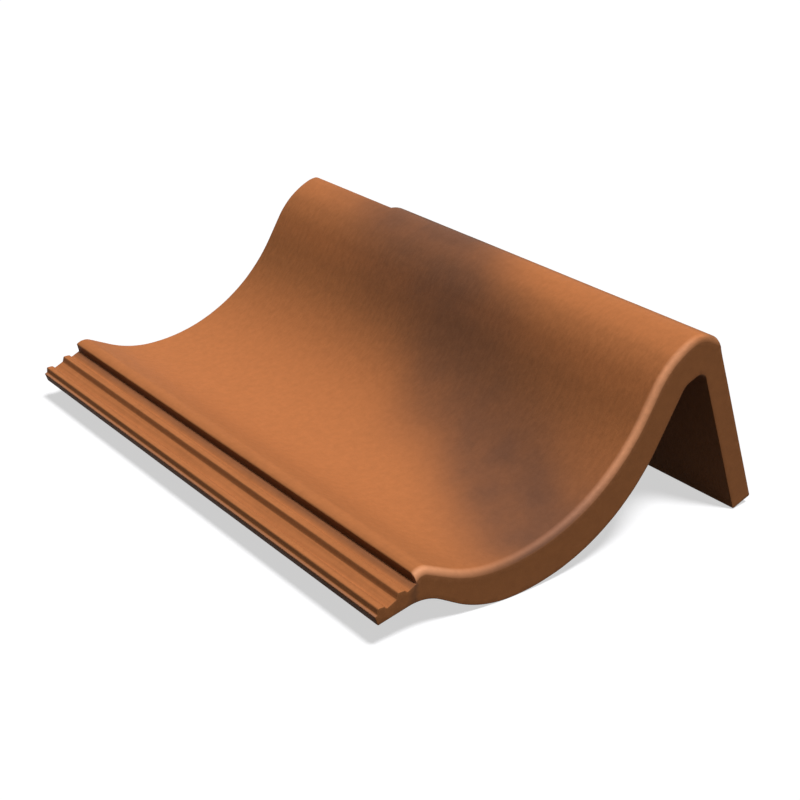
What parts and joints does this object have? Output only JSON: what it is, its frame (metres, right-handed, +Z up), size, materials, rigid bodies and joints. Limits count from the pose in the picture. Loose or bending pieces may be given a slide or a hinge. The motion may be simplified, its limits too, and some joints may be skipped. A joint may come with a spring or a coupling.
{
  "type": "verge tile",
  "caption": "Cloaked pantile verge tile in brindled terracotta concrete: stepped side lock, rounded trough, tall roll and a straight cloak hanging from the roll.",
  "frame": {"origin": "centre of the tile's footprint on the floor, under the middle of its overall width and length", "axes": "+X across the tile from the side lock to the cloak, +Y along it from the rounded tail end to the head end, +Z up; the tile rests on its belly and on the inner edge of the cloak"},
  "size_m": [0.2472, 0.342, 0.1075],
  "materials": {
    "brindled_concrete": "sanded matt, pigmented terracotta with dark brindling"
  },
  "bodies": {
    "root": {"verge_tile": "brindled_concrete"}
  },
  "joints": []
}
